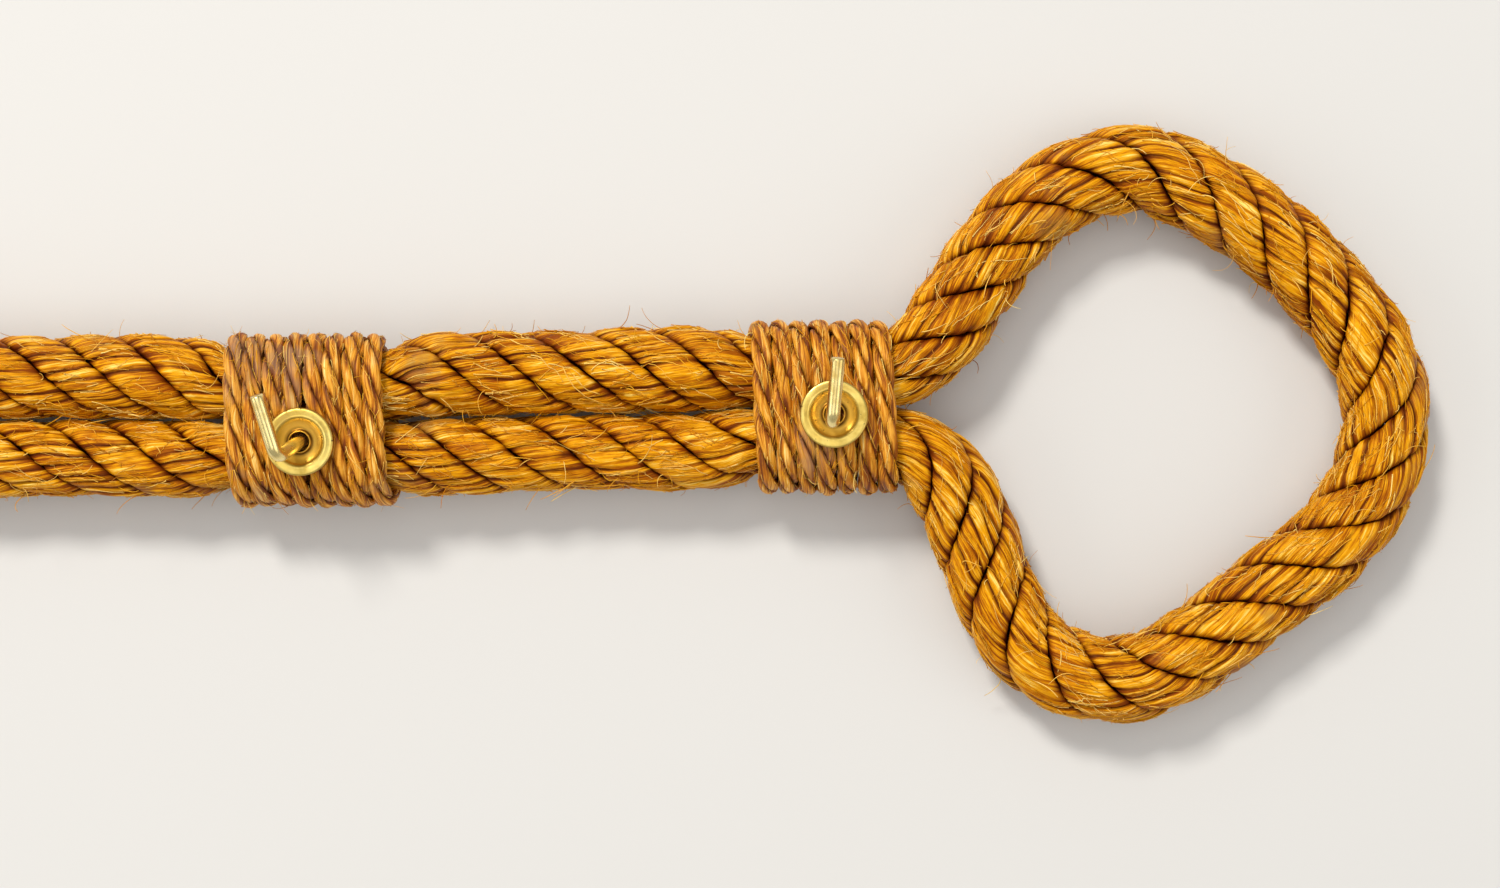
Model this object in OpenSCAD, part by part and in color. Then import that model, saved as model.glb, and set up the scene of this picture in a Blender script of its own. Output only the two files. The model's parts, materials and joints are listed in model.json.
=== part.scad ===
// Rope hook rack: one four-strand rope doubled into two legs with a loop at each end, bound by twine
// whippings, each of which holds a square-bend screw hook through a loose dished disc.
// Millimetres. +X runs along the legs, +Z is the side that the hooks stand on, and the rack lies on z = 0.

/* [Rope] */
// Thickness of the rope round the loops
loop_d = 19.6; // [19:0.1:20]
// Thickness of the upper leg between whippings
upper_leg_d = 18.6; // [18:0.1:18.8]
// Thickness of the lower leg between whippings
lower_leg_d = 17.2; // [16.6:0.1:17.4]

/* [Whippings] */
// Thickness of the whipping twine, which is also the pitch of its turns
twine_d = 4.1; // [4:0.05:4.2]
// Width of the slot between the turns that the shank parts
shank_gap = 2.6; // [2.2:0.1:3]
// Width of one rope leg where a whipping squeezes it
neck_w = 15.6; // [15:0.1:15.8]
// Height of one rope leg where a whipping squeezes it
neck_h = 16.8; // [16.4:0.1:17]

/* [Hooks] */
// Diameter of the brass wire
wire_d = 3.1; // [2.8:0.1:3.2]
// Distance from the shank's axis to the square-cut end of the arm
arm_reach = 14.4; // [13:0.1:17]
// Height of the arm's axis over the foot of the disc, along the shank
arm_height = 12.4; // [12:0.1:14]
// Radius of the bend, to the middle of the wire
bend_r = 2.8; // [2.4:0.1:3.2]
// Depth of the screw's point below the foot of the disc
screw_depth = 18; // [15:0.5:19]
// Length of the threaded part, with its point
thread_len = 13; // [8:0.5:14]
// Pitch of the thread
thread_pitch = 1.4; // [1.2:0.1:1.6]
// Radial gap between the shank and the fibres round it
shank_play = 0.5; // [0.4:0.05:0.6]

/* [Discs] */
// Outer diameter of the dished disc
disc_d = 15; // [14:0.1:15.4]
// Diameter of the hole in the disc
disc_hole_d = 4.4; // [4.3:0.05:4.5]
// Height of the disc's rim
disc_h = 1.9; // [1.7:0.1:2]
// Thickness of the pressed sheet
disc_sheet = 0.55; // [0.5:0.05:0.6]

/* [Hidden] */

$fn = 48;
rope_sides = 12;

// Stations, counted along +X: middle of each whipping, its turns, and the turns on the -X side of the shank
whip_x = [-175.6, -60.2, 60.2, 175.6];
whip_y = [2, 0, 0.5, 3.4];
whip_turns = [7, 8, 8, 7];
turns_before = [3, 4, 4, 4];
// Each shank's place across its whipping, its lean about X and Y, and the turn of its arm from +Y
hook_dy = [-1, -2, -4.6, -1.5];
hook_lean = [[14, 4], [17, -5], [18, -16], [11, -4]];
hook_turn = [9, -13, 10, -5.5];

// Height of the rope's middle inside the whippings, and of the twine's outermost surface
neck_z = neck_h / 2 + twine_d;
whip_h = 2 * neck_z;
disc_gap = 0.1;
disc_z = whip_h + disc_gap;
bore_r = wire_d / 2 + shank_play;

// Middle of the upper leg, from -X to +X
upper_leg_route = [
    [-192, 9.8, 12.5], [-160, 9.8, 12.5], [-151, 10.6, 12.3], [-118, 10.6, 11.8], [-86, 9.6, 12.3],
    [-77.5, 7.8, 12.5], [-41.7, 7.8, 12.5], [-33, 9.4, 12.3], [0, 10.2, 11.8], [33, 9.9, 12.3],
    [41.7, 8.3, 12.5], [77.5, 8.3, 12.5], [86, 10.4, 12.3], [118, 11.4, 11.8], [151, 12, 12.3],
    [160, 11.2, 12.5], [192, 11.2, 12.5]
];
// Middle of the lower leg, from -X to +X
lower_leg_route = [
    [-192, -5.8, 12.5], [-160, -5.8, 12.5], [-151, -7.6, 12.1], [-118, -7.6, 11.4], [-86, -8.6, 12.1],
    [-77.5, -7.8, 12.5], [-41.7, -7.8, 12.5], [-33, -8.8, 12.1], [0, -8, 11.4], [33, -8.2, 12.1],
    [41.7, -7.3, 12.5], [77.5, -7.3, 12.5], [86, -7.8, 12.1], [118, -6.8, 11.4], [151, -6.3, 12.1],
    [160, -4.4, 12.5], [192, -4.4, 12.5]
];
// Middle of the rope round the right loop, from the upper leg to the lower
right_loop_route = [
    [192, 11.2, 12.5], [197, 15, 12.2], [203, 21, 11.4], [209, 30, 10.4], [215, 39, 9.8],
    [223, 48, 9.8], [234, 55, 9.8], [247, 57.5, 9.8], [261, 53, 9.8], [275, 44, 9.8],
    [287, 33.4, 9.8], [298, 20, 9.8], [303.5, 4, 9.8], [300, -14, 9.8], [290, -28, 9.8],
    [276, -39, 9.8], [262, -50, 9.8], [248, -57.5, 9.8], [234, -57.5, 9.8], [222.5, -51, 9.8],
    [215.5, -40, 9.8], [210.5, -27, 10.4], [205, -15, 11.4], [199, -8, 12.2], [192, -4.4, 12.5]
];
// Middle of the rope round the left loop, from the upper leg to the lower
left_loop_route = [
    [-192, 9.8, 12.5], [-197, 13.5, 12.2], [-203, 20, 11.4], [-209, 29.5, 10.4], [-215.5, 39, 9.8],
    [-224, 48, 9.8], [-235, 55.5, 9.8], [-248, 57.5, 9.8], [-262, 52.5, 9.8], [-275, 43, 9.8],
    [-287, 32.4, 9.8], [-298.5, 18, 9.8], [-303.5, 1, 9.8], [-299, -16, 9.8], [-289, -29, 9.8],
    [-275, -40, 9.8], [-261, -50.5, 9.8], [-247, -57.5, 9.8], [-233, -57, 9.8], [-222, -50, 9.8],
    [-215.5, -39, 9.8], [-210.5, -27, 10.4], [-204.5, -15.5, 11.4], [-198.5, -9, 12.2],
    [-192, -5.8, 12.5]
];

function whip_len(i) = whip_turns[i] * twine_d + shank_gap;
function hook_x(i) = whip_x[i] - whip_len(i) / 2 + turns_before[i] * twine_d + shank_gap / 2;
function hook_foot(i) = [hook_x(i), whip_y[i] + hook_dy[i], disc_z];
// Direction of a shank, up from the rope, and where it crosses the middle of its disc's hole
function shank_dir(i) =
    let (a = hook_lean[i][0], b = hook_lean[i][1]) [cos(a) * sin(b), -sin(a), cos(a) * cos(b)];
function disc_foot(i) =
    let (u = shank_dir(i), rise = disc_h / 2) hook_foot(i) + rise / u[2] * [u[0], u[1], 0];
function unit(v) = v / norm(v);

// True where a leg's point lies in the grip of a whipping
function gripped(p) = min([for (x = whip_x) abs(abs(p[0] - x) - 17)]) < 2;
// Direction of a route at point i; both of its ends run along X, so that neighbouring solids meet face to face
function heading(route, i) =
    i == 0 ? [sign(route[1][0] - route[0][0]), 0, 0]
    : i == len(route) - 1 ? [sign(route[i][0] - route[i - 1][0]), 0, 0]
    : unit(route[i + 1] - route[i - 1]);
// One ring of the rope's outline, across the heading, with a corner at its lowest point
function ring(p, dir, w, h) =
    let (side = unit(cross([0, 0, 1], dir)), up = cross(dir, side))
    [for (k = [0 : rope_sides - 1])
        let (a = 360 * k / rope_sides - 90) p + side * (w / 2 * cos(a)) + up * (h / 2 * sin(a))];

module swept(route, sizes) {
    n = len(route);
    corners = [for (i = [0 : n - 1]) each ring(route[i], heading(route, i), sizes[i][0], sizes[i][1])];
    walls = [for (i = [0 : n - 2], k = [0 : rope_sides - 1])
        let (a = i * rope_sides + k, b = i * rope_sides + (k + 1) % rope_sides)
        each [[a, a + rope_sides, b + rope_sides], [a, b + rope_sides, b]]];
    first = [for (k = [0 : rope_sides - 1]) k];
    last = [for (k = [rope_sides - 1 : -1 : 0]) (n - 1) * rope_sides + k];
    polyhedron(corners, concat(walls, [first, last]));
}

// Clearance for each shank and its point, from above the disc down into the rope
module shank_bores() {
    for (i = [0 : len(whip_x) - 1])
        translate(hook_foot(i))
            rotate([hook_lean[i][0], hook_lean[i][1], 0])
                translate([0, 0, -screw_depth - 1])
                    cylinder(h = screw_depth + 4, r = bore_r);
}

module rope_leg(route, leg_d) {
    color("goldenrod")
        difference() {
            swept(route, [for (p = route) gripped(p) ? [neck_w, neck_h] : [leg_d, leg_d]]);
            shank_bores();
        }
}

// The rope swells from its squeezed size at the whipping to its full size over the loop's first two rings
module rope_loop(route) {
    n = len(route);
    mid_w = (neck_w + loop_d) / 2;
    mid_h = (neck_h + loop_d) / 2;
    color("goldenrod")
        swept(route, [for (i = [0 : n - 1])
            i == 0 || i == n - 1 ? [neck_w, neck_h]
            : i == 1 || i == n - 2 ? [mid_w, mid_h]
            : [loop_d, loop_d]]);
}

// Half outline of a whipping: straight against the rope, and one round ridge for each turn of twine
function turn_x(i, t) =
    (t + 0.5) * twine_d - whip_len(i) / 2 + (t >= turns_before[i] ? shank_gap : 0);
function whip_outline(i) = concat(
    [[-whip_len(i) / 2, 0]],
    [for (t = [0 : whip_turns[i] - 1], a = [160 : -20 : 20])
        [turn_x(i, t) + twine_d / 2 * cos(a), twine_d / 2 + twine_d / 2 * sin(a)]],
    [[whip_len(i) / 2, 0]]
);

module whipping(i) {
    inner_r = neck_h / 2;
    flat_half = neck_w - inner_r;
    color("peru")
        difference() {
            translate([whip_x[i], whip_y[i], neck_z])
                rotate([0, 90, 0]) {
                    for (side = [0, 180])
                        rotate([0, 0, side])
                            translate([0, flat_half, 0])
                                rotate_extrude(angle = 180)
                                    translate([inner_r, 0])
                                        rotate([0, 0, 90])
                                            mirror([0, 1])
                                                polygon(whip_outline(i));
                    for (side = [0, 180])
                        rotate([0, 0, side])
                            rotate([90, 0, 0])
                                linear_extrude(2 * flat_half, center = true)
                                    translate([inner_r, 0])
                                        rotate([0, 0, 90])
                                            mirror([0, 1])
                                                polygon(whip_outline(i));
                }
            shank_bores();
        }
}

// Screw from its point up: a sharp tip, then rings of thread on a thinner core
module screw_profile() {
    core_r = wire_d / 2 - 0.45;
    tip_len = 3 * thread_pitch;
    crests = floor((thread_len - tip_len) / thread_pitch);
    polygon(concat(
        [[0, 0], [core_r, tip_len]],
        [for (c = [0 : crests - 1], corner = [[0, 0.15], [1, 0.5], [0, 0.85]])
            [core_r + corner[0] * (wire_d / 2 - core_r), tip_len + (c + corner[1]) * thread_pitch]],
        [[core_r, thread_len - 0.2], [wire_d / 2, thread_len], [0, thread_len]]
    ));
}

module hook(i) {
    shank_top = arm_height - bend_r;
    end_bevel = 0.35;
    color("gold")
        translate(hook_foot(i))
            rotate([hook_lean[i][0], hook_lean[i][1], 0])
                rotate([0, 0, hook_turn[i]]) {
                    translate([0, 0, -screw_depth])
                        rotate_extrude()
                            screw_profile();
                    translate([0, 0, thread_len - screw_depth])
                        cylinder(h = shank_top + screw_depth - thread_len, d = wire_d);
                    translate([0, bend_r, shank_top])
                        rotate([90, 0, -90])
                            rotate_extrude(angle = 90)
                                translate([bend_r, 0])
                                    circle(d = wire_d);
                    translate([0, bend_r, arm_height])
                        rotate([-90, 0, 0]) {
                            cylinder(h = arm_reach - bend_r - end_bevel, d = wire_d);
                            translate([0, 0, arm_reach - bend_r - end_bevel])
                                cylinder(h = end_bevel, r1 = wire_d / 2, r2 = wire_d / 2 - end_bevel);
                        }
                }
}

// Pressed disc: rolled rim, flat band, small step, dish and a collar that stands up round the hole
module disc(i) {
    rim_r = disc_d / 2;
    hole_r = disc_hole_d / 2;
    dish_z = 0.95;
    band_r = rim_r - 2.3;
    color("khaki")
        translate(disc_foot(i))
            rotate_extrude()
                polygon([
                    [hole_r, dish_z - disc_sheet],
                    [hole_r, disc_h - 0.2],
                    [hole_r + 0.3, disc_h - 0.2],
                    [hole_r + 0.55, dish_z],
                    [band_r - 0.5, dish_z + 0.35],
                    [band_r, disc_h - 0.3],
                    [band_r + 0.3, disc_h - 0.1],
                    [rim_r - 0.5, disc_h],
                    [rim_r - 0.12, disc_h - 0.15],
                    [rim_r, disc_h - 0.5],
                    [rim_r, 0],
                    [rim_r - disc_sheet, 0],
                    [rim_r - disc_sheet, disc_h - disc_sheet - 0.1],
                    [band_r + 0.4, disc_h - disc_sheet - 0.2],
                    [band_r - 0.4, dish_z + 0.35 - disc_sheet]
                ]);
}

rope_leg(upper_leg_route, upper_leg_d);  // rope_upper_leg
rope_leg(lower_leg_route, lower_leg_d);  // rope_lower_leg
rope_loop(left_loop_route);  // rope_left_loop
rope_loop(right_loop_route);  // rope_right_loop
whipping(0);  // whipping_1
whipping(1);  // whipping_2
whipping(2);  // whipping_3
whipping(3);  // whipping_4
hook(0);  // hook_1
hook(1);  // hook_2
hook(2);  // hook_3
hook(3);  // hook_4
disc(0);  // disc_1
disc(1);  // disc_2
disc(2);  // disc_3
disc(3);  // disc_4
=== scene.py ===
"""Rope hook rack: a ring of four-strand manila rope doubled into two legs with a loop at each end,
four twine whippings round both legs, and in each whipping a brass square-bend screw hook in a dished disc.
Metres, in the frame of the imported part: +X along the legs, +Z towards the hooks, and z = 0 is the floor."""

import json
import math

import bpy
import numpy as np
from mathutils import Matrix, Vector


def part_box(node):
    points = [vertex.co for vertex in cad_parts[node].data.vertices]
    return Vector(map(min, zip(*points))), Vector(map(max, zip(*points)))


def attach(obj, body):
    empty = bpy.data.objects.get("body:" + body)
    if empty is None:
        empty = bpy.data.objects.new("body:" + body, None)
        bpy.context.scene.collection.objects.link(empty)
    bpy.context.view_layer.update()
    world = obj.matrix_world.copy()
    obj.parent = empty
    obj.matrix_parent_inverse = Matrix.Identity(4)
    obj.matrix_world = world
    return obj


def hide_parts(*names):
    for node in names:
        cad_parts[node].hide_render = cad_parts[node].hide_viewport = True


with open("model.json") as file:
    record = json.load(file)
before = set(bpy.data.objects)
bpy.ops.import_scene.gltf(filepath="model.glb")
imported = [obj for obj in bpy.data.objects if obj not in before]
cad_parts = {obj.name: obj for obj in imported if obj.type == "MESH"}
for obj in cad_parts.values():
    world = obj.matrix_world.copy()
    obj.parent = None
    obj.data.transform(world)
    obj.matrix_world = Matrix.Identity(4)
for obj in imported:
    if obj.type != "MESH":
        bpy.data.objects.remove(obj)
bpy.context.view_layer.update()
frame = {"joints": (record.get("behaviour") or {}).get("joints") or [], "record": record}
MM = 0.001

# ---------------------------------------------------------------- sizes and routes

NUMBERS = (1, 2, 3, 4)  # of the whippings, hooks and discs, from -X to +X

# Rope: its nominal thickness and length, its thickness in the loops and in each leg, and the twist's length
LOOP_D = 0.0196
UPPER_LEG_D = 0.0186
LOWER_LEG_D = 0.0172
ROPE_LAY = 0.054
FLUFF = 0.045  # share by which the crowns of the strands stand out past the CAD tube
GRIP_X = 0.017  # each leg is squeezed at its points that lie this far from a whipping's middle
GRIP_PLAY = 0.002  # give or take
BUTT_X = -0.176  # where the rope's two ends meet
BUTT_GAP = 0.0003  # between the two ends

# Twine: the twist's length, and for each whipping its turns and those of them on the -X side of the shank
TWINE_LAY = 0.024
WHIP_TURNS = [7, 8, 8, 7]
TURNS_BEFORE_SHANK = [3, 4, 4, 4]
SHANK_GAP = 0.0026  # between the turns that the shank parts
LINE_STEP = 0.8 * MM  # distance between two rings of rope or twine

# Hooks: the screw's depth under the disc's foot, its thread, and the bevel on the arm's cut end
SCREW_DEPTH = 0.018
THREAD_LENGTH = 0.013
THREAD_PITCH = 0.0014
THREAD_DEPTH = 0.45 * MM
ARM_BEVEL = 0.00035

# Space without loose fibres: the circle that a hook swings in, from this height over the disc's foot, and the
# radius round its shank
HOOK_SWEEP = 0.019
FIBRE_RISE = 0.0014
SHANK_CLEAR = 0.0024

# Middle of the rope, at the same points as in part.scad: legs from -X to +X, loops from upper leg to lower
UPPER_LEG = [
    (-0.192, 0.0098, 0.0125), (-0.160, 0.0098, 0.0125), (-0.151, 0.0106, 0.0123),
    (-0.118, 0.0106, 0.0118), (-0.086, 0.0096, 0.0123), (-0.0775, 0.0078, 0.0125),
    (-0.0417, 0.0078, 0.0125), (-0.033, 0.0094, 0.0123), (0.0, 0.0102, 0.0118),
    (0.033, 0.0099, 0.0123), (0.0417, 0.0083, 0.0125), (0.0775, 0.0083, 0.0125),
    (0.086, 0.0104, 0.0123), (0.118, 0.0114, 0.0118), (0.151, 0.012, 0.0123),
    (0.160, 0.0112, 0.0125), (0.192, 0.0112, 0.0125),
]
LOWER_LEG = [
    (-0.192, -0.0058, 0.0125), (-0.160, -0.0058, 0.0125), (-0.151, -0.0076, 0.0121),
    (-0.118, -0.0076, 0.0114), (-0.086, -0.0086, 0.0121), (-0.0775, -0.0078, 0.0125),
    (-0.0417, -0.0078, 0.0125), (-0.033, -0.0088, 0.0121), (0.0, -0.008, 0.0114),
    (0.033, -0.0082, 0.0121), (0.0417, -0.0073, 0.0125), (0.0775, -0.0073, 0.0125),
    (0.086, -0.0078, 0.0121), (0.118, -0.0068, 0.0114), (0.151, -0.0063, 0.0121),
    (0.160, -0.0044, 0.0125), (0.192, -0.0044, 0.0125),
]
RIGHT_LOOP = [
    (0.192, 0.0112, 0.0125), (0.197, 0.015, 0.0122), (0.203, 0.021, 0.0114),
    (0.209, 0.030, 0.0104), (0.215, 0.039, 0.0098), (0.223, 0.048, 0.0098),
    (0.234, 0.055, 0.0098), (0.247, 0.0575, 0.0098), (0.261, 0.053, 0.0098),
    (0.275, 0.044, 0.0098), (0.287, 0.0334, 0.0098), (0.298, 0.020, 0.0098),
    (0.3035, 0.004, 0.0098), (0.300, -0.014, 0.0098), (0.290, -0.028, 0.0098),
    (0.276, -0.039, 0.0098), (0.262, -0.050, 0.0098), (0.248, -0.0575, 0.0098),
    (0.234, -0.0575, 0.0098), (0.2225, -0.051, 0.0098), (0.2155, -0.040, 0.0098),
    (0.2105, -0.027, 0.0104), (0.205, -0.015, 0.0114), (0.199, -0.008, 0.0122),
    (0.192, -0.0044, 0.0125),
]
LEFT_LOOP = [
    (-0.192, 0.0098, 0.0125), (-0.197, 0.0135, 0.0122), (-0.203, 0.020, 0.0114),
    (-0.209, 0.0295, 0.0104), (-0.2155, 0.039, 0.0098), (-0.224, 0.048, 0.0098),
    (-0.235, 0.0555, 0.0098), (-0.248, 0.0575, 0.0098), (-0.262, 0.0525, 0.0098),
    (-0.275, 0.043, 0.0098), (-0.287, 0.0324, 0.0098), (-0.2985, 0.018, 0.0098),
    (-0.3035, 0.001, 0.0098), (-0.299, -0.016, 0.0098), (-0.289, -0.029, 0.0098),
    (-0.275, -0.040, 0.0098), (-0.261, -0.0505, 0.0098), (-0.247, -0.0575, 0.0098),
    (-0.233, -0.057, 0.0098), (-0.222, -0.050, 0.0098), (-0.2155, -0.039, 0.0098),
    (-0.2105, -0.027, 0.0104), (-0.2045, -0.0155, 0.0114), (-0.1985, -0.009, 0.0122),
    (-0.192, -0.0058, 0.0125),
]


def whip_box(number):
    """Middle and size of a whipping's CAD solid."""
    low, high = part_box(f"whipping_{number}")
    return (low + high) / 2, high - low


# Thickness of the twine, and height and width of one leg where a whipping squeezes it
twine_d = (whip_box(1)[1].x - SHANK_GAP) / WHIP_TURNS[0]
neck_h = whip_box(1)[1].z - 2 * twine_d
neck_w = whip_box(1)[1].y / 2 - twine_d
whip_middles = [whip_box(n)[0] for n in NUMBERS]

# ---------------------------------------------------------------- camera, floor and light

CAMERA_PLACE = (0.1591, -0.0049, 0.5325)
SENSOR_MM = 36
LENS_MM = 55.2
FLOOR_SIZE = 40
FLOOR_Z = -0.2 * MM
FLOOR_COLOUR = (0.62, 0.61, 0.59, 1)
WORLD_COLOUR = (0.86, 0.86, 0.86, 1)
WORLD_STRENGTH = 0.52
SOFT_WHITE = (1, 0.98, 0.95)
WARM_WHITE = (1, 0.97, 0.92)


def aim(thing, target):
    """Turns a light so that it looks at a point."""
    thing.rotation_euler = (Vector(target) - thing.location).to_track_quat("-Z", "Y").to_euler()


def add_camera():
    """Looks straight down on the right half of the rack, with +Y up in the picture."""
    data = bpy.data.cameras.new("camera")
    data.sensor_width = SENSOR_MM
    data.lens = LENS_MM
    data.clip_start = 0.01
    camera = bpy.data.objects.new("camera", data)
    camera.location = CAMERA_PLACE
    bpy.context.scene.collection.objects.link(camera)
    bpy.context.scene.camera = camera


def add_light(name, location, target, size, power, colour):
    """One soft rectangular studio light."""
    data = bpy.data.lights.new(name, "AREA")
    data.shape = "RECTANGLE"
    data.size, data.size_y = size
    data.energy = power
    data.color = colour
    light = bpy.data.objects.new(name, data)
    light.location = location
    bpy.context.scene.collection.objects.link(light)
    aim(light, target)


def add_studio():
    """Plain pale floor and world, a softbox overhead and at each side, and a key light at the upper left."""
    bpy.ops.mesh.primitive_plane_add(size=FLOOR_SIZE, location=(0, 0, FLOOR_Z))
    floor = bpy.context.object
    floor.name = "floor"
    paint = bpy.data.materials.new("floor_paint")
    paint.use_nodes = True
    shader = paint.node_tree.nodes["Principled BSDF"]
    shader.inputs["Base Color"].default_value = FLOOR_COLOUR
    shader.inputs["Roughness"].default_value = 0.9
    floor.data.materials.append(paint)
    world = bpy.data.worlds.new("world")
    world.use_nodes = True
    sky = world.node_tree.nodes["Background"]
    sky.inputs["Color"].default_value = WORLD_COLOUR
    sky.inputs["Strength"].default_value = WORLD_STRENGTH
    bpy.context.scene.world = world
    middle = (0.05, 0, 0)
    add_light("overhead", (0.05, 0, 2.00), middle, size=(1.20, 3.00), power=12.0, colour=SOFT_WHITE)
    add_light("side_left", (-1.70, -0.50, 1.20), middle, size=(1.40, 1.20), power=8.0, colour=SOFT_WHITE)
    add_light("side_right", (1.90, -0.50, 1.20), middle, size=(1.40, 1.20), power=8.0, colour=SOFT_WHITE)
    add_light("key", (-0.60, 1.30, 1.70), (0.10, 0, 0), size=(0.45, 0.45), power=40.0, colour=WARM_WHITE)
    bpy.context.scene.view_settings.view_transform = "Standard"


add_camera()
add_studio()

# ---------------------------------------------------------------- geometry helpers


CURVE_SAMPLES = 40  # between two points of a route, before the curve is cut at even steps


def unit(vectors):
    """The same directions with length 1."""
    return vectors / np.linalg.norm(vectors, axis=-1, keepdims=True)


def smooth_line(points, step):
    """Rows at even steps along a centripetal Catmull-Rom curve, and their distances along it.

    Columns past the third, such as a width, are carried along.
    """
    points = np.asarray(points, float)
    ends = np.vstack([2 * points[:1] - points[1:2], points, 2 * points[-1:] - points[-2:-1]])
    rows = []
    for a, b, c, d in zip(ends, ends[1:], ends[2:], ends[3:]):
        tb = math.sqrt(np.linalg.norm((b - a)[:3]))
        tc = tb + math.sqrt(np.linalg.norm((c - b)[:3]))
        td = tc + math.sqrt(np.linalg.norm((d - c)[:3]))
        t = np.linspace(tb, tc, CURVE_SAMPLES, endpoint=False)[:, None]
        ab = ((tb - t) * a + t * b) / tb
        bc = ((tc - t) * b + (t - tb) * c) / (tc - tb)
        cd = ((td - t) * c + (t - tc) * d) / (td - tc)
        abc = ((tc - t) * ab + t * bc) / tc
        bcd = ((td - t) * bc + (t - tb) * cd) / (td - tb)
        rows.append(((tc - t) * abc + (t - tb) * bcd) / (tc - tb))
    rows = np.vstack([*rows, points[-1:]])
    along = np.concatenate([[0], np.cumsum(np.linalg.norm(np.diff(rows[:, :3], axis=0), axis=1))])
    stations = np.linspace(0, along[-1], max(2, round(along[-1] / step) + 1))
    return np.stack([np.interp(stations, along, column) for column in rows.T], axis=1), stations


def wander(rng, shape, stations, span):
    """Smooth random values from -1 to 1 along the stations, with a new value about every span."""
    knots = int(stations[-1] / span) + 3
    values = rng.uniform(-1, 1, (*shape, knots))
    place = stations / span
    left = place.astype(int)
    mix = place - left
    mix = mix * mix * (3 - 2 * mix)
    return values[..., left] * (1 - mix) + values[..., left + 1] * mix


def make_mesh(name, points, quads, triangles, grain):
    """Mesh object from arrays. grain holds one vector for each face corner, quads first."""
    mesh = bpy.data.meshes.new(name)
    corners = np.concatenate([quads.ravel(), triangles.ravel()]).astype(np.int32)
    starts = np.concatenate([np.arange(len(quads)) * 4, len(quads) * 4 + np.arange(len(triangles)) * 3])
    mesh.vertices.add(len(points))
    mesh.vertices.foreach_set("co", points.astype(np.float32).ravel())
    mesh.loops.add(len(corners))
    mesh.loops.foreach_set("vertex_index", corners)
    mesh.polygons.add(len(starts))
    mesh.polygons.foreach_set("loop_start", starts.astype(np.int32))
    mesh.update(calc_edges=True)
    mesh.attributes.new("grain", "FLOAT_VECTOR", "CORNER").data.foreach_set(
        "vector", grain.astype(np.float32).ravel()
    )
    mesh.validate()
    mesh.shade_smooth()
    piece = bpy.data.objects.new(name, mesh)
    bpy.context.scene.collection.objects.link(piece)
    return piece


def add_point_value(piece, name, values):
    """Stores one number for each vertex, for the material to read."""
    attribute = piece.data.attributes.new(name, "FLOAT", "POINT")
    attribute.data.foreach_set("value", values.astype(np.float32).ravel())


def tube_faces(rings, columns):
    """Quads of a closed tube, each of them from ring i, column c."""
    i, c = np.meshgrid(np.arange(rings - 1), np.arange(columns), indexing="ij")
    d = (c + 1) % columns
    return np.stack([i * columns + c, i * columns + d, (i + 1) * columns + d, (i + 1) * columns + c], -1)


def fan(ring, centre, outward):
    """Triangles that close a tube's end ring."""
    after = np.roll(ring, -1)
    middle = np.full(len(ring), centre)
    return np.stack([middle, ring, after] if outward else [middle, after, ring], -1)


# ---------------------------------------------------------------- laid rope

OUTLINE_POINTS = 1441  # of the finely cut outline on which the yarns are spaced
TWIST_WANDER = 0.12  # radians by which the twist runs early or late
YARN_SPAN = 0.22  # share of the lay over which a yarn changes its place and thickness
CLEFT_SPAN = 0.18  # share of the lay over which the cleft between two yarns changes its depth
YARN_SLIDE = 0.75  # sideways play of a yarn, as a share of the unevenness
CLEFT_MEAN = 0.80  # depth of the clefts, as shares of the dent: their mean, change, least and most
CLEFT_CHANGE = 0.70
CLEFT_RANGE = (0.15, 1.4)
YARN_SWELL = 0.8  # height that thin yarns lose, as a share of the dent
ROUGHNESS = 0.11  # random depth of single points, as a share of the dent
SUNK_FROM = 0.95  # share of the rope's radius below which a strand's side gets painted shade
SUNK_OVER = 0.20  # share of the radius over which it does
SUNK_POWER = 1.3
CLEFT_SHADE = 0.62  # painted shade of a full cleft between yarns
END_SHADE = 0.8  # painted shade on the rope's cut ends
YARN_TONE = 7.31  # step from yarn to yarn of the number that its tone is drawn from
STRAND_TONE = 40  # step from strand to strand, in yarns


class Strand:
    """Outline of one strand in a round rope of radius 1, cut square to the rope, from its outermost point.

    It is an oval with its own centre, flattened where the neighbours press on it.
    """

    def __init__(self, count, centre, radial, tangential, seam):
        angle = np.linspace(0, 2 * math.pi, OUTLINE_POINTS)
        oval = 1 / np.sqrt((np.cos(angle) / radial) ** 2 + (np.sin(angle) / tangential) ** 2)
        slope = math.pi / count
        lean = math.cos(slope) * np.abs(np.sin(angle)) - math.sin(slope) * np.cos(angle)
        wall = math.sin(slope) * centre / np.maximum(lean, 1e-4) - seam
        reach = np.minimum(oval, wall)
        self.count = count
        self.centre = centre
        self.x = centre + reach * np.cos(angle)
        self.y = reach * np.sin(angle)
        steps = np.hypot(np.diff(self.x), np.diff(self.y))
        self.around = np.concatenate([[0], np.cumsum(steps)])
        self.perimeter = self.around[-1]
        self.around /= self.perimeter

    def at(self, share):
        """Points at a share of the way round the outline."""
        share = share % 1.0
        return np.interp(share, self.around, self.x), np.interp(share, self.around, self.y)


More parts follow.
